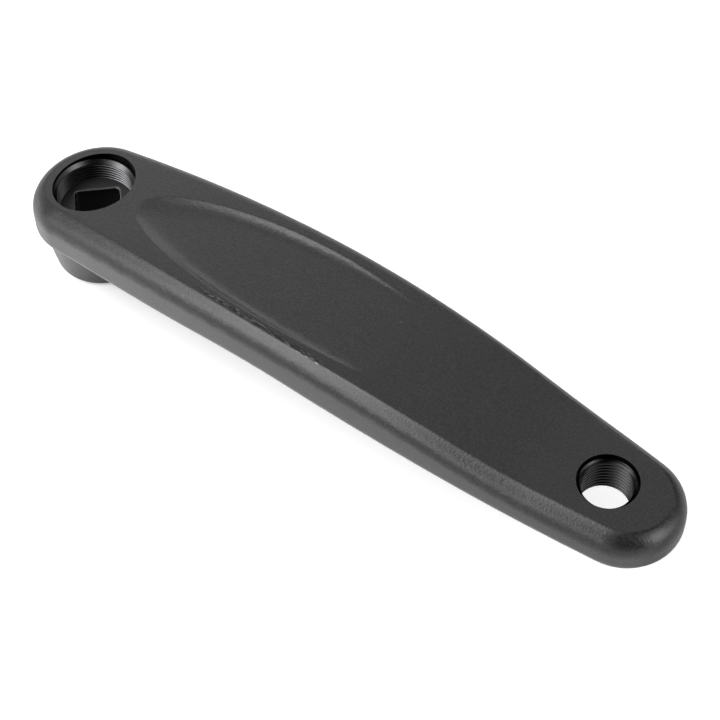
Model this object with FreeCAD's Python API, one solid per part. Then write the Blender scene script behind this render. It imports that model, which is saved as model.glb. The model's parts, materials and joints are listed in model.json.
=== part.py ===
import FreeCAD, Part
import math
import os
from FreeCAD import Vector

# A left-hand bicycle crank arm, forged in one piece from aluminium and machined at both eyes.
# Frame: the origin is the centre of the boss's inner end, on the spindle axis. Z points outward,
# away from the bicycle, along both axes, and X points from the spindle axis to the pedal axis.

# Driving dimensions, in millimetres unless a name says degrees.
AXLE_DISTANCE = 170.0

# The outline seen from outside: an arc round each end, and two long arcs down each side that meet
# where the taper to the pedal end sets in. All of them are tangent to their neighbours.
SPINDLE_END_RADIUS = 17.9
HALF_WIDTH = 20.6
WIDEST_AT = 75.0
TAPER_LENGTH = 42.5
PEDAL_END_RADIUS = 15.15
PEDAL_END_OFFSET = 5.6

# The outer face: the rim's height over the boss's inner end, and how far the face rises from there.
RIM_HEIGHT = 28.6
RIM_SLOPE_DEG = 13.0
QUARTER_RISE = 7.3
MIDDLE_RISE = 11.2
THREE_QUARTER_RISE = 10.6
PEDAL_RISE = 8.6
PEDAL_FLAT_LENGTH = 12.0

# Thickness of the arm below its outer face. The inner face runs level from mid length on.
SPINDLE_THICKNESS = 15.0
QUARTER_THICKNESS = 15.9
PEDAL_THICKNESS = 12.9
INNER_FLAT_FROM = 82.0

# Edges of the forging. The outer face cuts the rounded sides off at a crease, which is softest at
# the spindle end.
SIDE_ROUNDING = 7.0
FACE_CUT_AT_SPINDLE = 0.3
FACE_CUT_AT_MIDDLE = 1.0
FACE_CUT_AT_PEDAL = 0.7
INNER_ROUNDING = 3.8

# The tongue-shaped recess in the outer face: its nose is an ellipse, its sides run out straight.
TONGUE_NOSE_AT = 17.0
TONGUE_WIDEST_AT = 84.0
TONGUE_HALF_WIDTH = 15.2
TONGUE_WALL_WIDTH = 3.4
TONGUE_DEPTH = 1.1
TONGUE_FULL_DEPTH_AT = 48.0
TONGUE_END = 106.0
TONGUE_ROW_STEP = 7.5
TONGUE_COLUMN_STEP = 1.7
TONGUE_SURFACE_MARGIN = 3.0

# The boss on the inner face and the square taper socket in it.
BOSS_RADIUS = 13.8
BOSS_ROOT_RADIUS = 16.0
BOSS_EDGE = 0.8
SQUARE_FLATS = 12.65
SQUARE_TAPER_DEG = 2.0
SQUARE_CORNER_RADIUS = 1.4
SQUARE_TURN_DEG = 45.0
BOLT_SEAT_HEIGHT = 18.3

# The extractor bore over the bolt seat: M22 x 1, cut here to its crest radius.
EXTRACTOR_THREAD_RADIUS = 10.46
EXTRACTOR_MOUTH_RADIUS = 11.75
EXTRACTOR_MOUTH_DEPTH = 3.4
EXTRACTOR_LEAD = 1.1

# The pedal bore: 9/16 inch x 20, cut here to its crest radius.
PEDAL_THREAD_RADIUS = 6.5
PEDAL_MOUTH_RADIUS = 7.9
PEDAL_MOUTH_FOOT_RADIUS = 7.4
PEDAL_MOUTH_DEPTH = 1.2
PEDAL_LEAD = 0.9
PEDAL_EXIT_RADIUS = 7.2

# Margins by which cutting solids pass what they cut, and the reach within which an edge counts as
# lying on a surface.
OVERRUN = 20.0
CUT_HALF_WIDTH = 60.0
MATCH = 0.01


def height_line(heights):
    """A line of heights along the arm: a curve through (x, z) stations, level at its last one, and
    from there a straight level run past the pedal end."""
    curve = Part.BSplineCurve()
    curve.interpolate(
        Points=[Vector(x, 0, z) for x, z in heights],
        InitialTangent=Vector(1, 0, math.tan(math.radians(RIM_SLOPE_DEG))),
        FinalTangent=Vector(1, 0, 0),
    )
    return curve


def height_at(curve, x):
    """The height at a place along the arm, by halving the curve's span until it is found."""
    if x >= curve.EndPoint.x:
        return curve.EndPoint.z
    low, high = curve.FirstParameter, curve.LastParameter
    for _ in range(60):
        middle = (low + high) / 2
        if curve.value(middle).x < x:
            low = middle
        else:
            high = middle
    return curve.value(low).z


def slab_over(curve, top):
    """Everything above a line of heights and below a level, across the whole width."""
    start, level_from = curve.StartPoint, curve.EndPoint
    end = Vector(AXLE_DISTANCE + PEDAL_END_OFFSET + PEDAL_END_RADIUS + OVERRUN, 0, level_from.z)
    sides = [
        curve.toShape(),
        Part.makeLine(level_from, end),
        Part.makeLine(end, Vector(end.x, 0, top)),
        Part.makeLine(Vector(end.x, 0, top), Vector(start.x, 0, top)),
        Part.makeLine(Vector(start.x, 0, top), start),
    ]
    face = Part.Face(Part.Wire(sides))
    face.translate(Vector(0, -CUT_HALF_WIDTH, 0))
    return face.extrude(Vector(0, 2 * CUT_HALF_WIDTH, 0))


def arc_about(centre, radius, first, middle, last):
    """The arc about a centre through three directions, given as unit vectors."""
    return Part.Arc(*[centre + way * radius for way in (first, middle, last)]).toShape()


def between(first, last):
    return (first + last).normalize()


def across(way):
    """A direction mirrored to the other side of the arm."""
    return Vector(way.x, -way.y, 0)


def arm_outline():
    """The forging's outline. The radius of each long arc follows from what it is tangent to."""
    spindle_end = Vector(0, 0, 0)
    pedal_end = Vector(AXLE_DISTANCE + PEDAL_END_OFFSET, 0, 0)
    long_radius = (WIDEST_AT ** 2 + HALF_WIDTH ** 2 - SPINDLE_END_RADIUS ** 2) / (
        2 * (HALF_WIDTH - SPINDLE_END_RADIUS))
    long_centre = Vector(WIDEST_AT, HALF_WIDTH - long_radius, 0)
    at_spindle = (spindle_end - long_centre) * (1 / (long_radius - SPINDLE_END_RADIUS))
    run = (AXLE_DISTANCE - TAPER_LENGTH - WIDEST_AT) / long_radius
    at_taper = Vector(run, math.sqrt(1 - run ** 2), 0)
    joint = long_centre + at_taper * long_radius
    reach = joint - pedal_end
    taper_radius = (reach.dot(reach) - PEDAL_END_RADIUS ** 2) / (
        2 * (at_taper.dot(reach) - PEDAL_END_RADIUS))
    taper_centre = joint - at_taper * taper_radius
    at_pedal = (pedal_end - taper_centre) * (1 / (taper_radius - PEDAL_END_RADIUS))
    long_arc = arc_about(long_centre, long_radius, at_spindle, between(at_spindle, at_taper), at_taper)
    taper_arc = arc_about(taper_centre, taper_radius, at_taper, between(at_taper, at_pedal), at_pedal)
    other_side = [edge.mirror(Vector(0, 0, 0), Vector(0, 1, 0)) for edge in (taper_arc, long_arc)]
    spindle_arc = arc_about(spindle_end, SPINDLE_END_RADIUS,
                            across(at_spindle), Vector(-1, 0, 0), at_spindle)
    pedal_arc = arc_about(pedal_end, PEDAL_END_RADIUS, at_pedal, Vector(1, 0, 0), across(at_pedal))
    return Part.Wire([spindle_arc, long_arc, taper_arc, pedal_arc] + other_side)


def stations(values, level_from):
    """Stations at the spindle axis and each further quarter of the length, run out past the
    spindle end, with the last value where the level run begins."""
    run_out = SPINDLE_END_RADIUS + OVERRUN
    slope = math.tan(math.radians(RIM_SLOPE_DEG))
    first = (-run_out, values[0] - run_out * slope)
    places = [0.25 * AXLE_DISTANCE * quarter for quarter in range(len(values) - 1)]
    return [first] + list(zip(places, values[:-1])) + [(level_from, values[-1])]


def outer_line(cuts):
    """The line of the outer face's heights, each raised by what is yet to be cut off it."""
    rises = (0.0, QUARTER_RISE, MIDDLE_RISE, THREE_QUARTER_RISE, PEDAL_RISE)
    heights = [RIM_HEIGHT + rise + cut for rise, cut in zip(rises, cuts)]
    return height_line(stations(heights, AXLE_DISTANCE - PEDAL_FLAT_LENGTH))


def inner_line():
    """The line of the inner face's heights, one thickness below the outer face at each station."""
    heights = [
        RIM_HEIGHT - SPINDLE_THICKNESS,
        RIM_HEIGHT + QUARTER_RISE - QUARTER_THICKNESS,
        RIM_HEIGHT + PEDAL_RISE - PEDAL_THICKNESS,
    ]
    return height_line(stations(heights, INNER_FLAT_FROM))


def forging():
    """The arm's bar: its outline, rounded along both edges and cut off flat on the outer face."""
    raised = outer_line([
        FACE_CUT_AT_SPINDLE,
        (FACE_CUT_AT_SPINDLE + FACE_CUT_AT_MIDDLE) / 2,
        FACE_CUT_AT_MIDDLE,
        (FACE_CUT_AT_MIDDLE + FACE_CUT_AT_PEDAL) / 2,
        FACE_CUT_AT_PEDAL,
    ])
    inner = inner_line()
    top = RIM_HEIGHT + MIDDLE_RISE + OVERRUN
    bar = Part.Face(arm_outline()).extrude(Vector(0, 0, top))
    bar = bar.common(slab_over(inner, top)).cut(slab_over(raised, top + OVERRUN))
    bar = round_edges(bar, raised, SIDE_ROUNDING)
    bar = round_edges(bar, inner, INNER_ROUNDING)
    return bar.cut(slab_over(finished_face(), top + OVERRUN))


def finished_face():
    return outer_line([0.0] * 5)


def round_edges(solid, curve, radius):
    """Round the closed loop of edges that lies on the surface swept from a height curve."""
    loop = []
    for edge in solid.Edges:
        middle = edge.valueAt((edge.FirstParameter + edge.LastParameter) / 2)
        ends = [vertex.Point for vertex in edge.Vertexes]
        if all(abs(point.z - height_at(curve, point.x)) < MATCH for point in ends + [middle]):
            loop.append(edge)
    return solid.makeFillet(radius, loop)


def tongue_depth(x, y):
    """Depth of the recess: full inside its walls, none at its rim, and negative outside it."""
    lengthwise = max(0.0, (TONGUE_WIDEST_AT - x) / (TONGUE_WIDEST_AT - TONGUE_NOSE_AT))
    reach = math.hypot(lengthwise, y / TONGUE_HALF_WIDTH)
    wall_starts = 1 - TONGUE_WALL_WIDTH / TONGUE_HALF_WIDTH
    up_the_wall = max(0.0, (reach - wall_starts) / (1 - wall_starts))
    run_out = max(0.0, (x - TONGUE_FULL_DEPTH_AT) / (TONGUE_END - TONGUE_FULL_DEPTH_AT))
    return TONGUE_DEPTH * (1 - up_the_wall ** 2 - run_out ** 2)


def tongue_cutter(outer_curve):
    """The cutter of the recess: all that lies over a surface drawn through its depths."""
    start, end = TONGUE_NOSE_AT - TONGUE_SURFACE_MARGIN, TONGUE_END + TONGUE_SURFACE_MARGIN
    side = TONGUE_HALF_WIDTH + TONGUE_SURFACE_MARGIN
    rows = round((end - start) / TONGUE_ROW_STEP)
    columns = 2 * round(side / TONGUE_COLUMN_STEP)
    grid = []
    for row in range(rows + 1):
        x = start + (end - start) * row / rows
        face_height = height_at(outer_curve, x)
        spread = [side * (2 * column / columns - 1) for column in range(columns + 1)]
        grid.append([Vector(x, y, face_height - tongue_depth(x, y)) for y in spread])
    surface = Part.BSplineSurface()
    surface.interpolate(grid)
    return surface.toShape().extrude(Vector(0, 0, TONGUE_DEPTH + OVERRUN))


def boss():
    """The round boss on the inner face that reaches in to the bottom bracket, flared at its root."""
    root_height = RIM_HEIGHT - SPINDLE_THICKNESS
    return turned([
        (0, 0),
        (BOSS_RADIUS - BOSS_EDGE, 0),
        (BOSS_RADIUS, BOSS_EDGE),
        (BOSS_ROOT_RADIUS, root_height),
        (BOSS_ROOT_RADIUS, BOLT_SEAT_HEIGHT),
        (0, BOLT_SEAT_HEIGHT),
    ], 0)


def square_section(flats, height):
    """A square wire with rounded corners, turned to its working angle, at a height."""
    half = flats / 2
    straight = half - SQUARE_CORNER_RADIUS
    bulge = straight + SQUARE_CORNER_RADIUS * math.sqrt(0.5)
    edges = []
    for turn in range(4):
        side = Part.makeLine(Vector(half, -straight, height), Vector(half, straight, height))
        corner = Part.Arc(Vector(half, straight, height), Vector(bulge, bulge, height),
                          Vector(straight, half, height)).toShape()
        for edge in (side, corner):
            edge.rotate(Vector(0, 0, 0), Vector(0, 0, 1), 90 * turn + SQUARE_TURN_DEG)
            edges.append(edge)
    return Part.Wire(edges)


def square_socket():
    """The taper for the spindle: a square that narrows outward at a fixed angle on each flat."""
    growth = 2 * math.tan(math.radians(SQUARE_TAPER_DEG))
    low, high = -BOSS_EDGE, BOLT_SEAT_HEIGHT + BOSS_EDGE
    wide = square_section(SQUARE_FLATS + growth * (BOLT_SEAT_HEIGHT - low), low)
    narrow = square_section(SQUARE_FLATS + growth * (BOLT_SEAT_HEIGHT - high), high)
    return Part.makeLoft([wide, narrow], True, True)


def turned(profile, centre_x):
    """A turned cutter from its half section, as (radius, height) points, about an upright axis."""
    points = [Vector(radius, 0, height) for radius, height in profile]
    wire = Part.makePolygon(points + [points[0]])
    solid = Part.Face(wire).revolve(Vector(0, 0, 0), Vector(0, 0, 1), 360)
    solid.translate(Vector(centre_x, 0, 0))
    return solid


def extractor_bore():
    """From the bolt seat out: the threaded length, its lead and the plain mouth."""
    mouth_floor = RIM_HEIGHT - EXTRACTOR_MOUTH_DEPTH
    top = RIM_HEIGHT + OVERRUN
    return turned([
        (0, BOLT_SEAT_HEIGHT),
        (EXTRACTOR_THREAD_RADIUS, BOLT_SEAT_HEIGHT),
        (EXTRACTOR_THREAD_RADIUS, mouth_floor - EXTRACTOR_LEAD),
        (EXTRACTOR_THREAD_RADIUS + EXTRACTOR_LEAD, mouth_floor),
        (EXTRACTOR_MOUTH_RADIUS, mouth_floor),
        (EXTRACTOR_MOUTH_RADIUS, top),
        (0, top),
    ], 0)


def pedal_bore():
    """From the inner face out: the exit chamfer, the threaded length, its lead and the coned mouth."""
    face = RIM_HEIGHT + PEDAL_RISE
    back = face - PEDAL_THICKNESS
    cone = (PEDAL_MOUTH_RADIUS - PEDAL_MOUTH_FOOT_RADIUS) / PEDAL_MOUTH_DEPTH
    mouth_foot = face - PEDAL_MOUTH_DEPTH
    return turned([
        (0, back - OVERRUN),
        (PEDAL_EXIT_RADIUS + OVERRUN, back - OVERRUN),
        (PEDAL_THREAD_RADIUS, back + PEDAL_EXIT_RADIUS - PEDAL_THREAD_RADIUS),
        (PEDAL_THREAD_RADIUS, mouth_foot - PEDAL_LEAD),
        (PEDAL_MOUTH_FOOT_RADIUS, mouth_foot),
        (PEDAL_MOUTH_RADIUS + cone * OVERRUN, face + OVERRUN),
        (0, face + OVERRUN),
    ], AXLE_DISTANCE)


def crank_arm():
    arm = forging()
    arm = arm.fuse(boss())
    arm = arm.cut(tongue_cutter(finished_face()))
    arm = arm.cut(extractor_bore()).cut(square_socket()).cut(pedal_bore())
    return arm


def main():
    os.makedirs("parts", exist_ok=True)
    shape = crank_arm()
    solid = shape.Solids[0]
    print("solids", len(shape.Solids), "faces", len(shape.Faces), "valid", shape.isValid())
    print("volume cm3", round(solid.Volume / 1000, 2), "box", solid.BoundBox)
    solid.exportStep("parts/crank_arm.step")


main()
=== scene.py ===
# %% [markdown]
# # A left-hand crank arm
# The real thing is one forging: a broad bar with a satin black skin and two machined bores.
# The solid model already has its form, so this lesson keeps that form and adds what a solid leaves
# out: the two screw threads, softly broken edges, a blasted skin, and the light of a small studio.

# %% Load the frame
import json
import math

import bmesh
import bpy
from mathutils import Euler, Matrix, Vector


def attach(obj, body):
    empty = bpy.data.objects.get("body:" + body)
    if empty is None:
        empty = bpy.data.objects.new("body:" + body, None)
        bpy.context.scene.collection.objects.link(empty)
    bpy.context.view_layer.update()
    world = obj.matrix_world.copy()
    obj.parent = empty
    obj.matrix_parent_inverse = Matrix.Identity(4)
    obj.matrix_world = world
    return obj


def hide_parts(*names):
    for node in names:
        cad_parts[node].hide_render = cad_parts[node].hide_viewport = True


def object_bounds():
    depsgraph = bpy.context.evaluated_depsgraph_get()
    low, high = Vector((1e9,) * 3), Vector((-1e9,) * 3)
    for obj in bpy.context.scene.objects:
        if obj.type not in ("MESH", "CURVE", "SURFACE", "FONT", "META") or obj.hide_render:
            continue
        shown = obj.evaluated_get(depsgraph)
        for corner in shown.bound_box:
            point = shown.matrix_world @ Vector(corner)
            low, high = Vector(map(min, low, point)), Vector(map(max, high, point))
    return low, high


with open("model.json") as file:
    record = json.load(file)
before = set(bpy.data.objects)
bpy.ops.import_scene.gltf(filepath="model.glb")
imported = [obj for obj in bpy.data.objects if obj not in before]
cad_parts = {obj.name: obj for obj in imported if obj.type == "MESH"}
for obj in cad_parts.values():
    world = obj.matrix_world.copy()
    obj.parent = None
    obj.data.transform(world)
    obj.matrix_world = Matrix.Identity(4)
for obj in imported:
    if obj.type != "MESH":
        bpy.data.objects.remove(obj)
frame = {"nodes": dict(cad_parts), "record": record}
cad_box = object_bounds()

MM = 0.001
print("solid model from", cad_box[0], "to", cad_box[1])

# %% [markdown]
# ## The camera
# The camera stands where the picture was taken: about half a metre away, high over the near side.
# Its lens is long, so the two ends of the arm differ little in scale. The place and the turn were
# found by matching the two bores, whose threads have standard sizes.

# %% Camera
SENSOR_MM = 36.0
FOCAL_MM = 103.592
CAMERA_PLACE_MM = (292.947, -251.207, 461.560)
CAMERA_TURN_DEG = (36.1914, 0.3902, 37.9392)

camera_data = bpy.data.cameras.new("camera")
camera_data.sensor_width = SENSOR_MM
camera_data.lens = FOCAL_MM
camera = bpy.data.objects.new("camera", camera_data)
camera.location = Vector(CAMERA_PLACE_MM) * MM
camera.rotation_euler = Euler([math.radians(turn) for turn in CAMERA_TURN_DEG], "XYZ")
bpy.context.collection.objects.link(camera)
bpy.context.scene.camera = camera
print("camera stands", round(camera.location.length, 3), "m from the spindle end")

# %% [markdown]
# ## The arm's own mesh
# The solid's mesh is never changed, so the visible arm is a copy of it. The copy's points are
# welded, because an imported mesh is split along its edges, and a split mesh can't take new walls.

# %% Copy of the solid's mesh
WELD = 0.002 * MM

solid = frame["nodes"]["crank_arm"]
shape = bmesh.new()
shape.from_mesh(solid.data)
bmesh.ops.remove_doubles(shape, verts=shape.verts, dist=WELD)
print("welded arm:", len(shape.verts), "points,", len(shape.faces), "faces")

# %% [markdown]
# ## The two bores
# The extractor bore at the spindle end has a fine right-hand thread of 1 mm pitch, and the pedal
# eye a left-hand thread of twenty turns to the inch. In the solid both are smooth at the height of
# the thread's crests. A bore's straight wall opens into a short cone at its mouth, and the pedal
# eye's at its exit too, while the extractor bore has no lower cone. Everything inside the mouth's
# radius belongs to the bore.

# %% Two bores
RIGHT_HAND, LEFT_HAND = 1, -1
mounts = {mount["name"]: mount for mount in frame["record"]["mounts"]}


def way(height, start, end):
    """Share of the way that a height has gone from start to end, and 0 before the start."""
    return max(0.0, (height - start) / (end - start)) if start != end else 0.0


class Bore:
    """A threaded bore: the ends of its wall and of its straight part, its cones and its thread."""

    def __init__(self, name, wall_ends, straight_ends, end_radii, mouth, root, pitch, hand):
        mount = mounts[name + "_thread"]
        self.name, self.axis_x, self.crest = name, mount["pos_m"][0], mount["dims"]["r_mm"] * MM
        self.low, self.high = wall_ends
        self.straight_low, self.straight_high = straight_ends
        self.low_radius, self.high_radius = (radius or self.crest for radius in end_radii)
        self.mouth, self.root, self.pitch, self.hand = mouth, root, pitch, hand

    def reach(self, place):
        """Distance of a place from the bore's axis."""
        return math.hypot(place.x - self.axis_x, place.y)

    def smooth_radius(self, height):
        """Radius of the wall without its thread, on the cones as well."""
        up = way(height, self.straight_high, self.high)
        down = way(height, self.straight_low, self.low)
        return (self.crest + up * (self.high_radius - self.crest)
                + down * (self.low_radius - self.crest))


extractor = Bore("extractor", wall_ends=(18.3 * MM, 25.2 * MM),
                 straight_ends=(18.3 * MM, 24.1 * MM), end_radii=(None, 11.56 * MM),
                 mouth=11.8 * MM, root=11.0 * MM, pitch=1.0 * MM, hand=RIGHT_HAND)
pedal = Bore("pedal", wall_ends=(24.3 * MM, 36.0 * MM), straight_ends=(25.0 * MM, 35.1 * MM),
             end_radii=(7.2 * MM, 7.4 * MM), mouth=8.2 * MM,
             root=7.14 * MM, pitch=1.27 * MM, hand=LEFT_HAND)
BORES = [extractor, pedal]
for bore in BORES:
    print(bore.name, "bore at x", bore.axis_x, "m, crest radius", round(bore.crest / MM, 2), "mm")

# %% [markdown]
# ## Screw threads
# A thread is a groove that winds round the bore, one pitch deeper on each turn. It could be a bump
# in the material, but it would vanish at the edge of the hole, so it is cut into the mesh. Within
# one pitch the groove has a flat crest, a flank, a narrow root and a flank back.

# %% Thread profile
CREST_SHARE = 0.30
ROOT_SHARE = 0.10


def thread_depth(turn):
    """Depth of the groove, from 0 on the crest to 1 at the root, for a place within one pitch."""
    flank = (1 - CREST_SHARE - ROOT_SHARE) / 2
    place = turn % 1.0
    if place < CREST_SHARE:
        return 0.0
    if place < CREST_SHARE + flank:
        return (place - CREST_SHARE) / flank
    if place < CREST_SHARE + flank + ROOT_SHARE:
        return 1.0
    return (1.0 - place) / flank


depths = [round(thread_depth(tenth / 10), 2) for tenth in range(10)]
print("depth at each tenth of a pitch:", depths)

# %% [markdown]
# The smooth wall has to go first. Its faces are those between the two ends of the wall that lie no
# further from the axis than its widest end. Once they are gone, an open ring of points is left at
# each end, and the new wall is joined to these rings.

# %% Smooth wall
RING_SLACK = 0.05 * MM


def wall_faces(mesh, bore):
    """Faces of the smooth wall, the cones at its ends included."""
    widest = max(bore.smooth_radius(bore.low), bore.smooth_radius(bore.high))
    found = []
    for face in mesh.faces:
        middle = face.calc_center_median()
        if bore.low < middle.z < bore.high and bore.reach(middle) < widest:
            found.append(face)
    return found


def ring_at(mesh, bore, height):
    """Open edge loop that lies round the bore's axis at a height, sorted by angle."""
    points = {}
    for edge in mesh.edges:
        if len(edge.link_faces) == 1:
            for point in edge.verts:
                if abs(point.co.z - height) < RING_SLACK:
                    points[point] = math.atan2(point.co.y, point.co.x - bore.axis_x)
    return sorted(points, key=points.get)


for bore in BORES:
    print(bore.name, "bore's smooth wall:", len(wall_faces(shape, bore)), "faces")

# %% [markdown]
# The new wall is laid along the helix. Its columns stand round the bore, and each row climbs one
# pitch per turn, so that crests and roots follow the rows exactly. Rows that would pass an end of
# the wall stop there, which closes the wall flat at both ends. On a cone the groove fades out,
# because the cone is wider than the groove is deep.

# %% Threaded wall
THREAD_COLUMNS = 120
ROWS_PER_PITCH = 10
SPARE_PITCHES = 1.2
SAME_HEIGHT = 1e-9


def wall_column(mesh, bore, number, rows):
    """One upright line of points on the threaded wall, held between the wall's two ends."""
    angle = -math.pi + 2 * math.pi * (number + 0.5) / THREAD_COLUMNS
    lead = bore.hand * bore.pitch * (number + 0.5) / THREAD_COLUMNS
    points = []
    for row in range(rows + 1):
        helix = bore.low + lead + (row / ROWS_PER_PITCH - SPARE_PITCHES) * bore.pitch
        height = min(max(helix, bore.low), bore.high)
        at_an_end = height in (bore.low, bore.high)
        if points and at_an_end and abs(points[-1].co.z - height) < SAME_HEIGHT:
            points.append(points[-1])
            continue
        depth = thread_depth((helix - lead - bore.low) / bore.pitch)
        groove = bore.crest + (bore.root - bore.crest) * depth
        smooth = bore.smooth_radius(height)
        radius = max(smooth, groove) if bore.low < helix < bore.high else smooth
        x, y = bore.axis_x + radius * math.cos(angle), radius * math.sin(angle)
        points.append(mesh.verts.new((x, y, height)))
    return points


def lay_wall(mesh, bore, columns, rows):
    """Faces between neighbouring columns. The last column meets the first one pitch on."""
    laid = 0
    for number, here in enumerate(columns):
        last = number == THREAD_COLUMNS - 1
        there = columns[0] if last else columns[number + 1]
        shift = bore.hand * ROWS_PER_PITCH if last else 0
        for row in range(-ROWS_PER_PITCH, rows + ROWS_PER_PITCH):
            low, high = min(max(row, 0), rows), min(max(row + 1, 0), rows)
            far_low = min(max(row + shift, 0), rows)
            far_high = min(max(row + 1 + shift, 0), rows)
            corners = dict.fromkeys([here[low], there[far_low], there[far_high], here[high]])
            if len(corners) > 2:
                mesh.faces.new(reversed(list(corners)))
                laid += 1
    return laid


print("one pitch of thread:", ROWS_PER_PITCH, "rows of", THREAD_COLUMNS, "faces")

# %% [markdown]
# The new wall's end rings and the rings that the old wall left have different numbers of points. A
# strip of triangles joins each pair. It goes round both rings at once and always steps on along the
# one whose next point comes first. With that, both threads can be cut.

# %% Both threads cut
def zip_rings(mesh, first, second, axis_x):
    """Close the gap between two rings, sorted by angle, with a strip of triangles."""
    def angle(ring, index):
        point = ring[index % len(ring)].co
        turn = math.atan2(point.y, point.x - axis_x)
        return turn + 2 * math.pi * (index // len(ring))

    a, b = 0, 0
    while a < len(first) or b < len(second):
        step_a = a < len(first) and (b >= len(second) or angle(first, a + 1) < angle(second, b + 1))
        here, there = first[a % len(first)], second[b % len(second)]
        ahead = first[(a + 1) % len(first)] if step_a else second[(b + 1) % len(second)]
        mesh.faces.new([here, ahead, there] if step_a else [here, there, ahead])
        a, b = a + step_a, b + (not step_a)
    return a + b


def cut_thread(mesh, bore):
    """Replace a bore's smooth wall by a threaded one."""
    gone = wall_faces(mesh, bore)
    bmesh.ops.delete(mesh, geom=gone, context="FACES")
    lower_ring, upper_ring = ring_at(mesh, bore, bore.low), ring_at(mesh, bore, bore.high)
    rows = round(((bore.high - bore.low) / bore.pitch + 2 * SPARE_PITCHES) * ROWS_PER_PITCH)
    columns = [wall_column(mesh, bore, number, rows) for number in range(THREAD_COLUMNS)]
    laid = lay_wall(mesh, bore, columns, rows)
    strips = zip_rings(mesh, [column[0] for column in columns], lower_ring, bore.axis_x)
    strips += zip_rings(mesh, upper_ring, [column[-1] for column in columns], bore.axis_x)
    return len(gone), laid, strips


for bore in BORES:
    gone, laid, strips = cut_thread(shape, bore)
    print(bore.name, "bore:", gone, "faces out,", laid, "in its thread,", strips, "in its strips")
bmesh.ops.recalc_face_normals(shape, faces=shape.faces)
print("open edges left:", sum(len(edge.link_faces) != 2 for edge in shape.edges))

# %% [markdown]
# ## Softly broken edges
# The crease round the outer face and the rim of the recess are edges in the solid. A forging that
# has been blasted has none that sharp, so every crease outside the bores is rounded. The recess
# was pressed into the forging, and its rim is softer than the crease round the face. The recess's
# nose is half an ellipse, which tells the two kinds of crease apart.

# %% Where a crease lies
RECESS_NOSE, RECESS_WIDEST, RECESS_END = 17.0 * MM, 84.0 * MM, 108.0 * MM
RECESS_HALF_WIDTH = 15.2 * MM
RECESS_MARGIN = 0.5 * MM
NOSE_SLACK = 1.05


def bore_at(place):
    """The bore whose mouth surrounds a place, or None."""
    return next((bore for bore in BORES if bore.reach(place) < bore.mouth), None)


def in_the_recess(place):
    """True inside the recess's outline, for a place on the outer face."""
    short_of_widest = max(0.0, RECESS_WIDEST - place.x) / (RECESS_WIDEST - RECESS_NOSE)
    if short_of_widest > NOSE_SLACK or place.x > RECESS_END:
        return False
    width = RECESS_HALF_WIDTH * math.sqrt(max(0.0, 1.0 - short_of_widest ** 2))
    return abs(place.y) < width + RECESS_MARGIN


def on_the_face(place):
    return bore_at(place) is None and not in_the_recess(place)


print("faces in the recess:", sum(in_the_recess(face.calc_center_median()) for face in shape.faces))

# %% [markdown]
# A bevel rounds an edge by a strip of narrow faces on each side of it. Only edges whose two faces
# look outward and meet at more than a few degrees are creases, and the rest is smooth surface.

# %% Broken creases
CREASE_ANGLE_DEG, CREASE_WIDTH = 11.0, 0.35 * MM
RIM_ANGLE_DEG, RIM_WIDTH = 9.0, 0.7 * MM
OUTWARD = 0.3
ROUND_SEGMENTS = 3
ROUND_PROFILE = 0.5


def bevel(mesh, edges, width, segments):
    """Round some edges, or chamfer them with one segment, and say how many there were."""
    bmesh.ops.bevel(mesh, geom=edges, offset=width, offset_type="OFFSET", segments=segments,
                    profile=ROUND_PROFILE, affect="EDGES", clamp_overlap=True)
    return len(edges)


def creases(mesh, wanted, least_angle_deg):
    """Edges of the outer side that lie where they are wanted and are sharper than an angle."""
    found = []
    for edge in mesh.edges:
        middle = (edge.verts[0].co + edge.verts[1].co) / 2
        outward = all(face.normal.z > OUTWARD for face in edge.link_faces)
        if outward and wanted(middle) and edge.calc_face_angle() > math.radians(least_angle_deg):
            found.append(edge)
    return found


rim = bevel(shape, creases(shape, in_the_recess, RIM_ANGLE_DEG), RIM_WIDTH, ROUND_SEGMENTS)
outer = bevel(shape, creases(shape, on_the_face, CREASE_ANGLE_DEG), CREASE_WIDTH, ROUND_SEGMENTS)
print("edges broken:", rim, "in the recess,", outer, "outside it; now", len(shape.faces), "faces")

# %% [markdown]
# The square hole starts in the bolt seat, at the foot of the extractor's wall. Its top edge has a
# small chamfer of its own, which catches the light.

# %% Chamfered square
SEAT_HEIGHT = extractor.low
SQUARE_REACH = 9.4 * MM
SQUARE_CHAMFER = 0.35 * MM
SQUARE_ANGLE_DEG = 60.0
HAIR = 0.01 * MM


def on_the_seat(point):
    return abs(point.co.z - SEAT_HEIGHT) < HAIR and point.co.xy.length < SQUARE_REACH


square = [edge for edge in shape.edges if all(on_the_seat(point) for point in edge.verts)
          and edge.calc_face_angle() > math.radians(SQUARE_ANGLE_DEG)]
print("square's edges chamfered:", bevel(shape, square, SQUARE_CHAMFER, 1))

# %% [markdown]
# ## Six surfaces
# The skin is blasted and black. The bores and the boss's end are machined smooth and dyed, and
# glossier; the bores' dark grey is partly painted shade for their depth. The crests of both threads
# get a paler grey as painted light, the extractor's most, and their roots keep the dark grey as
# painted shade; the pedal's crests stay darker as painted shade in that bore. The bolt seat is
# dull, and the square's chamfer is pale as a painted highlight. Each face is told which surface it
# has.

# %% Machined faces
SURFACES = ["blasted_black", "dyed_bore_painted_shade", "extractor_crest_painted_light", "pedal_crest_painted_light", "dull_seat",
            "painted_highlight_edge"]
BOSS_END_HEIGHT = 0.05 * MM
LEVEL = 0.95
CREST_DEPTH = 0.5


def is_seat(face, middle):
    """True for the bolt seat and the square's chamfer, which both look outward."""
    at_its_height = SEAT_HEIGHT - SQUARE_CHAMFER < middle.z < SEAT_HEIGHT + HAIR
    return bore_at(middle) is extractor and at_its_height and face.normal.z > OUTWARD


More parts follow.
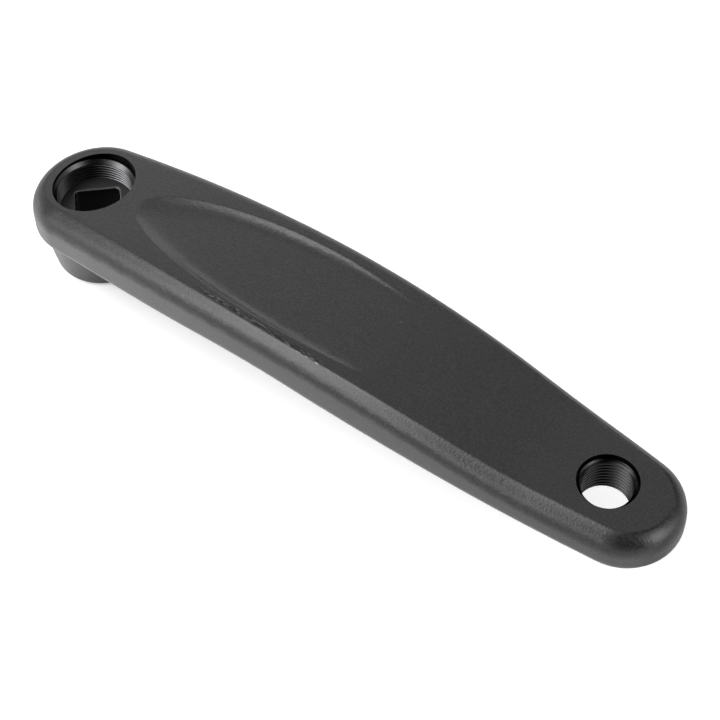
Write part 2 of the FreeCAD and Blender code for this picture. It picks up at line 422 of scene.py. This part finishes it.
def is_crest(bore, middle):
    """True where the threaded wall is nearer to its crest than to its root."""
    smooth = bore.smooth_radius(middle.z)
    depth = (bore.reach(middle) - smooth) / max(bore.root - smooth, HAIR)
    return bore.low < middle.z < bore.high and depth < CREST_DEPTH


def surface_of(face):
    """The name of the surface that a face has."""
    middle = face.calc_center_median()
    bore = bore_at(middle)
    if middle.z < BOSS_END_HEIGHT:
        return "dyed_bore_painted_shade"
    if bore is None:
        return "blasted_black"
    if is_seat(face, middle):
        # The square's chamfer gets a pale grey, which is a painted highlight.
        return "dull_seat" if face.normal.z > LEVEL else "painted_highlight_edge"
    # A crest gets a paler grey as painted light, and the rest of a bore a dark grey as painted
    # shade.
    return bore.name + "_crest_painted_light" if is_crest(bore, middle) else "dyed_bore_painted_shade"


for face in shape.faces:
    face.material_index = SURFACES.index(surface_of(face))
for index, name in enumerate(SURFACES):
    print(name, "faces:", sum(face.material_index == index for face in shape.faces))

# %% [markdown]
# ## Smooth sides and crisp edges
# Where neighbouring faces meet at a small angle the surface is meant to be round, and where they
# meet at a larger one it is an edge. Large faces lead the shading of the points that they share
# with small ones, which keeps the flats flat beside the broken creases.

# %% Shading
EDGE_ANGLE_DEG = 16.0

arm_mesh = bpy.data.meshes.new("arm")
shape.to_mesh(arm_mesh)
shape.free()
arm_mesh.attributes.remove(arm_mesh.attributes["custom_normal"])
arm_mesh.polygons.foreach_set("use_smooth", [True] * len(arm_mesh.polygons))
arm_mesh.set_sharp_from_angle(angle=math.radians(EDGE_ANGLE_DEG))
arm = bpy.data.objects.new("arm", arm_mesh)
bpy.context.collection.objects.link(arm)
weighted = arm.modifiers.new("flats_lead", "WEIGHTED_NORMAL")
weighted.mode = "FACE_AREA_WITH_ANGLE"
weighted.keep_sharp = True
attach(arm, "root")
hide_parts("crank_arm")
print("arm mesh:", len(arm_mesh.vertices), "points,", len(arm_mesh.polygons), "faces")

# %% [markdown]
# ## A blasted, dyed skin
# The forging is blasted with fine beads and dyed black. Up close that skin is a field of tiny
# dents, so its gloss is broad and sparkles a little. Every surface of the arm uses this grain, so
# it is a node group, built once. Two short helpers come first: one makes an empty group, and one
# puts a node into a tree, where an input is a plain value or another node's output.

# %% Node helpers
NUMBER, VECTOR = "NodeSocketFloat", "NodeSocketVector"


def new_group(name, inputs, outputs):
    """An empty shader node group with named inputs and outputs."""
    group = bpy.data.node_groups.new(name, "ShaderNodeTree")
    for title, kind in inputs.items():
        group.interface.new_socket(title, in_out="INPUT", socket_type=kind)
    for title, kind in outputs.items():
        group.interface.new_socket(title, in_out="OUTPUT", socket_type=kind)
    return group


def add_node(tree, kind, inputs=None, **settings):
    """A new node with its settings, and with inputs that are plain values or other outputs."""
    node = tree.nodes.new(kind)
    for name, value in settings.items():
        setattr(node, name, value)
    for key, value in (inputs or {}).items():
        if isinstance(value, bpy.types.NodeSocket):
            tree.links.new(value, node.inputs[key])
        else:
            node.inputs[key].default_value = value
    return node


grain = new_group("blasted_grain", inputs={"Place": VECTOR, "Dents per m": NUMBER},
                  outputs={"Height": NUMBER, "Mottle": NUMBER})
print("group", grain.name, "has", len(grain.interface.items_tree), "sockets")

# %% [markdown]
# Fine noise gives the height of the dents, and coarse noise a mottle that varies the gloss from
# place to place. The scale of the dents is an input, because the machined surfaces have wider ones.

# %% Blasted grain group
DENT_DETAIL, DENT_SOFTNESS = 2.0, 0.6
MOTTLE_PER_M, MOTTLE_DETAIL = 90.0, 3.0

entry = add_node(grain, "NodeGroupInput").outputs
dents = add_node(grain, "ShaderNodeTexNoise", {
    "Vector": entry["Place"], "Scale": entry["Dents per m"],
    "Detail": DENT_DETAIL, "Roughness": DENT_SOFTNESS})
mottle = add_node(grain, "ShaderNodeTexNoise", {
    "Vector": entry["Place"], "Scale": MOTTLE_PER_M, "Detail": MOTTLE_DETAIL})
add_node(grain, "NodeGroupOutput", {
    "Height": dents.outputs["Fac"], "Mottle": mottle.outputs["Fac"]})
print("grain group:", len(grain.nodes), "nodes")

# %% [markdown]
# ## One recipe for every surface
# The six surfaces differ in their grey, in being bare metal or not, in gloss, and in how fine and
# strong their dents are. The rest is one recipe: the grain's height makes a bump, and its mottle
# moves the roughness up and down a little. The skin's grey is about the middle of the speckle that
# it gets further on.

# %% Skins
DENT_DEPTH = 0.12 * MM
BLUENESS = 1.03
# Each surface's grey, metal, roughness, spread of the roughness, dents per metre and bump strength.
SKINS = {
    "blasted_black": (0.010, 0.0, 0.30, 0.05, 1800.0, 0.5),
    # The bores' dark grey is partly painted shade; the crests' paler greys are painted light.
    "dyed_bore_painted_shade": (0.016, 1.0, 0.24, 0.06, 1500.0, 0.2),
    "extractor_crest_painted_light": (0.065, 1.0, 0.22, 0.06, 1500.0, 0.2),
    "pedal_crest_painted_light": (0.024, 1.0, 0.22, 0.06, 1500.0, 0.2),
    "dull_seat": (0.026, 0.0, 0.42, 0.08, 1500.0, 0.2),
    # The chamfer's pale grey is a painted highlight.
    "painted_highlight_edge": (0.11, 0.0, 0.42, 0.08, 1500.0, 0.2),
}


def grained_skin(name, grey, metal, roughness, spread, dents_per_m, bump_strength):
    """A material whose bump and gloss come from the grain group, and that group's outputs."""
    material = bpy.data.materials.new(name)
    material.use_nodes = True
    tree = material.node_tree
    place = add_node(tree, "ShaderNodeTexCoord").outputs["Object"]
    texture = add_node(tree, "ShaderNodeGroup", {"Place": place, "Dents per m": dents_per_m},
                       node_tree=grain).outputs
    bump = add_node(tree, "ShaderNodeBump", {
        "Strength": bump_strength, "Distance": DENT_DEPTH, "Height": texture["Height"]})
    gloss = add_node(tree, "ShaderNodeMapRange", {
        "Value": texture["Mottle"], "To Min": roughness - spread, "To Max": roughness + spread})
    surface = tree.nodes["Principled BSDF"].inputs
    surface["Base Color"].default_value = (grey, grey, grey * BLUENESS, 1.0)
    surface["Metallic"].default_value = metal
    tree.links.new(bump.outputs["Normal"], surface["Normal"])
    tree.links.new(gloss.outputs["Result"], surface["Roughness"])
    return material, texture


grain_of = {}
for name in SURFACES:
    material, grain_of[name] = grained_skin(name, *SKINS[name])
    arm_mesh.materials.append(material)
print("skins:", [material.name for material in arm_mesh.materials])

# %% [markdown]
# ## Wear and painted shade
# The narrow land on the near side, between the recess and the crease, has pale wear and a dark
# streak of painted shade. A mask keeps both in place: one beside a slanting line across the arm,
# and none past the two ends of the land or down on the side. Masks are made by fading from one to
# nothing, and multiplied.

# %% Where the land is
LAND_SLOPE, LAND_OFFSET = 0.029, 14.05 * MM
LAND_HALF_WIDTH, LAND_FADE = 0.4 * MM, 0.4 * MM
LAND_START, LAND_END, LAND_END_FADE = 50.0 * MM, 98.0 * MM, 6.0 * MM
LAND_LEAST_HEIGHT, LAND_HEIGHT_FADE = 30.0 * MM, 1.0 * MM


def maths(tree, operation, *inputs):
    """What a math node makes of its inputs, each a number or another node's output."""
    node = add_node(tree, "ShaderNodeMath", dict(enumerate(inputs)), operation=operation)
    return node.outputs["Value"]


def fade(tree, source, whole, none):
    """One where the source has the first value, and nothing where it has the second."""
    node = add_node(tree, "ShaderNodeMapRange", {
        "Value": source, "From Min": none, "From Max": whole}, interpolation_type="SMOOTHSTEP")
    return node.outputs["Result"]


def product(tree, first, *others):
    """All the masks multiplied together."""
    for other in others:
        first = maths(tree, "MULTIPLY", first, other)
    return first


# The group gives pale wear and dark streaks of painted shade.
wear_and_shade = new_group("land_wear_and_shade", inputs={"Place": VECTOR}, outputs={"Fleck": NUMBER, "Painted shade": NUMBER})
place = add_node(wear_and_shade, "NodeGroupInput").outputs["Place"]
along = add_node(wear_and_shade, "ShaderNodeSeparateXYZ", {"Vector": place}).outputs
line = maths(wear_and_shade, "MULTIPLY_ADD", along["X"], LAND_SLOPE, LAND_OFFSET)
from_line = maths(wear_and_shade, "ABSOLUTE", maths(wear_and_shade, "ADD", along["Y"], line))
land = product(
    wear_and_shade,
    fade(wear_and_shade, from_line, LAND_HALF_WIDTH, LAND_HALF_WIDTH + LAND_FADE),
    fade(wear_and_shade, along["X"], LAND_START + LAND_END_FADE, LAND_START),
    fade(wear_and_shade, along["X"], LAND_END - LAND_END_FADE, LAND_END),
    fade(wear_and_shade, along["Z"], LAND_LEAST_HEIGHT + LAND_HEIGHT_FADE, LAND_LEAST_HEIGHT),
)
print("mask of the land:", len(wear_and_shade.nodes), "nodes")

# %% [markdown]
# Short streaks run along the land: pale ones rubbed through to metal, and dark ones that are
# painted shade. Noise that is stretched along the arm gives both: its high places are pale and its
# low ones dark. A few faint specks, each the middle of a cell in a Voronoi pattern, lie all over
# the skin.

# %% Wear and painted shade group
STREAKS_PER_M = (500.0, 3200.0, 3200.0)
STREAK_DETAIL = 3.0
PALE_WHOLE, PALE_NONE = 0.64, 0.56
DARK_WHOLE, DARK_NONE = 0.40, 0.52
SPECKS_PER_M = 110.0
SPECK_RADIUS, SPECK_CORE_SHARE, SPECK_STRENGTH = 0.35 * MM, 0.3, 0.45

stretched = add_node(wear_and_shade, "ShaderNodeMapping", {"Vector": place, "Scale": STREAKS_PER_M})
streaks = add_node(wear_and_shade, "ShaderNodeTexNoise", {
    "Vector": stretched.outputs["Vector"], "Scale": 1.0, "Detail": STREAK_DETAIL}).outputs["Fac"]
pale = product(wear_and_shade, land, fade(wear_and_shade, streaks, PALE_WHOLE, PALE_NONE))
# The dark streaks are painted shade along the land.
dark = product(wear_and_shade, land, fade(wear_and_shade, streaks, DARK_WHOLE, DARK_NONE))

cells = add_node(wear_and_shade, "ShaderNodeTexVoronoi", {"Vector": place, "Scale": SPECKS_PER_M})
speck_edge = SPECK_RADIUS * SPECKS_PER_M
specks = fade(wear_and_shade, cells.outputs["Distance"], SPECK_CORE_SHARE * speck_edge, speck_edge)
fleck = maths(wear_and_shade, "MAXIMUM", pale, maths(wear_and_shade, "MULTIPLY", specks, SPECK_STRENGTH))
add_node(wear_and_shade, "NodeGroupOutput", {"Fleck": fleck, "Painted shade": dark})
print("wear group:", len(wear_and_shade.nodes), "nodes")

# %% [markdown]
# The black itself is a little paler in the dents, which speckles the skin where it reflects an
# even light. The wear and the painted shade go on the same skin: a fleck is bare metal, and a dark
# streak is painted shade, a dark metal that reflects less than the skin round it.

# %% Wear and painted shade on the skin
FLECK_METAL = (0.16, 0.16, 0.158, 1.0)
PAINTED_SHADE_STRENGTH = 0.5
DENT_BLACK, DENT_GREY = (0.006, 0.006, 0.006, 1.0), (0.015, 0.015, 0.0155, 1.0)
GREY_WHOLE, GREY_NONE = 0.62, 0.42


def blend(tree, share, first, second, kind="RGBA"):
    """The first colour or number where the share is 0, and the second where it is 1."""
    node = add_node(tree, "ShaderNodeMix", {"Factor": share, "A": first, "B": second},
                    data_type=kind)
    return node.outputs["Result"]


skin = arm_mesh.materials["blasted_black"].node_tree
skin_place = add_node(skin, "ShaderNodeTexCoord").outputs["Object"]
marks_and_shade = add_node(skin, "ShaderNodeGroup", {"Place": skin_place}, node_tree=wear_and_shade).outputs
dented = fade(skin, grain_of["blasted_black"]["Height"], GREY_WHOLE, GREY_NONE)
speckle = blend(skin, dented, DENT_BLACK, DENT_GREY)
worn_colour = blend(skin, marks_and_shade["Fleck"], speckle, FLECK_METAL)
# The dark streaks turn the skin to a dark metal, which is painted shade.
painted_shade_metal = maths(skin, "MULTIPLY", marks_and_shade["Painted shade"], PAINTED_SHADE_STRENGTH)
skin_surface = skin.nodes["Principled BSDF"].inputs
skin.links.new(worn_colour, skin_surface["Base Color"])
skin.links.new(maths(skin, "MAXIMUM", painted_shade_metal, marks_and_shade["Fleck"]), skin_surface["Metallic"])
print("blasted skin:", len(skin.nodes), "nodes")

# %% [markdown]
# ## Floor
# The arm was shot on white. A pale floor keeps its soft shadow, and lies a hair below the boss, so
# that the two never touch.

# %% Floor
FLOOR_HALF = 3.0
FLOOR_GAP = 0.4 * MM
FLOOR_CORNERS = [(-1, -1), (1, -1), (1, 1), (-1, 1)]

floor_level = cad_box[0][2] - FLOOR_GAP
floor_mesh = bpy.data.meshes.new("floor")
floor_mesh.from_pydata([(x * FLOOR_HALF, y * FLOOR_HALF, floor_level) for x, y in FLOOR_CORNERS],
                       [], [(0, 1, 2, 3)])
floor = bpy.data.objects.new("floor", floor_mesh)
bpy.context.collection.objects.link(floor)
print("floor lies at", floor_level)

# %% [markdown]
# For the camera the floor glows just enough to read as white paper. In the arm's gloss it is
# greyer, a painted reflection, and it glows there as painted light: hardly at all right under the
# arm, which is a painted shadow, most just in front of it, and more at the spindle end. Each of
# these is an even slope over the floor, and they are multiplied.

# %% Floor paper
FLOOR_COLOUR = (0.86, 0.86, 0.86, 1.0)
FLOOR_IN_REFLECTION = (0.56, 0.56, 0.56, 1.0)
FLOOR_ROUGHNESS, FLOOR_SHEEN = 0.9, 0.1
GLOW_FOR_CAMERA = 0.3
GLOW_BESIDE, GLOW_FAR_OFF = 1.05, 0.30
SHADE_END, BESIDE, FAR_OFF = 8.0 * MM, 22.0 * MM, 90.0 * MM
SHARE_UNDER, SHARE_AT_PEDAL, SHARE_BEHIND = 0.15, 0.6, 0.15


def ramp(tree, source, start, end, first, last):
    """A number that goes evenly from first to last while the source goes from start to end."""
    node = add_node(tree, "ShaderNodeMapRange", {
        "Value": source, "From Min": start, "From Max": end, "To Min": first, "To Max": last})
    return node.outputs["Result"]


white_paper_painted_glow = bpy.data.materials.new("white_paper_painted_glow")
white_paper_painted_glow.use_nodes = True
floor_mesh.materials.append(white_paper_painted_glow)
paper = white_paper_painted_glow.node_tree
rays = add_node(paper, "ShaderNodeLightPath").outputs
position = add_node(paper, "ShaderNodeNewGeometry").outputs["Position"]
spot = add_node(paper, "ShaderNodeSeparateXYZ", {"Vector": position}).outputs
aside = maths(paper, "ABSOLUTE", spot["Y"])
# The glow in the arm's gloss is painted light, with a painted shadow under the arm.
glow_in_gloss = product(
    paper,
    ramp(paper, aside, SHADE_END, BESIDE, SHARE_UNDER, 1.0),
    ramp(paper, aside, BESIDE, FAR_OFF, GLOW_BESIDE, GLOW_FAR_OFF),
    ramp(paper, spot["X"], extractor.axis_x, pedal.axis_x, 1.0, SHARE_AT_PEDAL),
    ramp(paper, spot["Y"], -BESIDE, BESIDE, 1.0, SHARE_BEHIND),
)
glow_seen = maths(paper, "MULTIPLY", rays["Is Camera Ray"], GLOW_FOR_CAMERA)
glow = maths(paper, "MULTIPLY_ADD", rays["Is Glossy Ray"], glow_in_gloss, glow_seen)
paper_colour = blend(paper, rays["Is Glossy Ray"], FLOOR_COLOUR, FLOOR_IN_REFLECTION)

paper_surface = paper.nodes["Principled BSDF"].inputs
paper_surface["Roughness"].default_value = FLOOR_ROUGHNESS
paper_surface["Specular IOR Level"].default_value = FLOOR_SHEEN
paper_surface["Emission Color"].default_value = (1, 1, 1, 1)
paper.links.new(paper_colour, paper_surface["Base Color"])
paper.links.new(glow, paper_surface["Emission Strength"])
print("floor paper:", len(paper.nodes), "nodes")

# %% [markdown]
# ## Studio light
# The picture has no hard lamp in it. The arm reflects a few broad, soft patches of light round the
# room: a tall one over the near left side, which draws the bright line along the near edge, a low
# one beyond the pedal end, and dim ones behind. Each patch is a smooth spot on the room's dome: the
# light falls off with the angle from its middle. The camera sees plain white.

# %% Room light
ROOM_DIM = 0.02
PATCH_SHARPNESS = 30.0
# Each patch's bearing from the pedal end and height over the floor, in degrees, and its strength.
PATCHES = [
    (0, 5, 2.65), (26, 5, 2.5), (180, 5, 1.2), (206, 5, 0.6), (231, 5, 2.6), (257, 5, 4.2),
    (0, 25, 5.3), (30, 25, 0.4), (60, 25, 0.5), (120, 25, 2.4), (150, 25, 1.2), (240, 25, 6.2),
    (0, 45, 1.05), (72, 45, 1.15), (108, 45, 0.36), (144, 45, 0.35), (180, 45, 0.8),
    (216, 45, 4.6), (252, 45, 2.2), (225, 57, 4.0), (120, 66, 0.7), (180, 66, 1.1), (240, 66, 1.5),
]


def towards(bearing_deg, height_deg):
    """Direction with a bearing and a height over the floor."""
    bearing, height = math.radians(bearing_deg), math.radians(height_deg)
    level = math.cos(height)
    return level * math.cos(bearing), level * math.sin(bearing), math.sin(height)


world = bpy.data.worlds.new("room")
bpy.context.scene.world = world
world.use_nodes = True
room = world.node_tree
look = add_node(room, "ShaderNodeTexCoord").outputs["Generated"]
light = ROOM_DIM
for bearing, height, strength in PATCHES:
    aim = add_node(room, "ShaderNodeVectorMath", {0: look, 1: towards(bearing, height)},
                   operation="DOT_PRODUCT").outputs["Value"]
    patch = maths(room, "POWER", maths(room, "MAXIMUM", aim, 0.0), PATCH_SHARPNESS)
    light = maths(room, "MULTIPLY_ADD", patch, strength, light)
for_camera = add_node(room, "ShaderNodeLightPath").outputs["Is Camera Ray"]
background = room.nodes["Background"].inputs
background["Color"].default_value = (1, 1, 1, 1)
room.links.new(blend(room, for_camera, light, 1.0, kind="FLOAT"), background["Strength"])
bpy.context.scene.view_settings.view_transform = "Standard"
print("room light:", len(PATCHES), "soft patches")
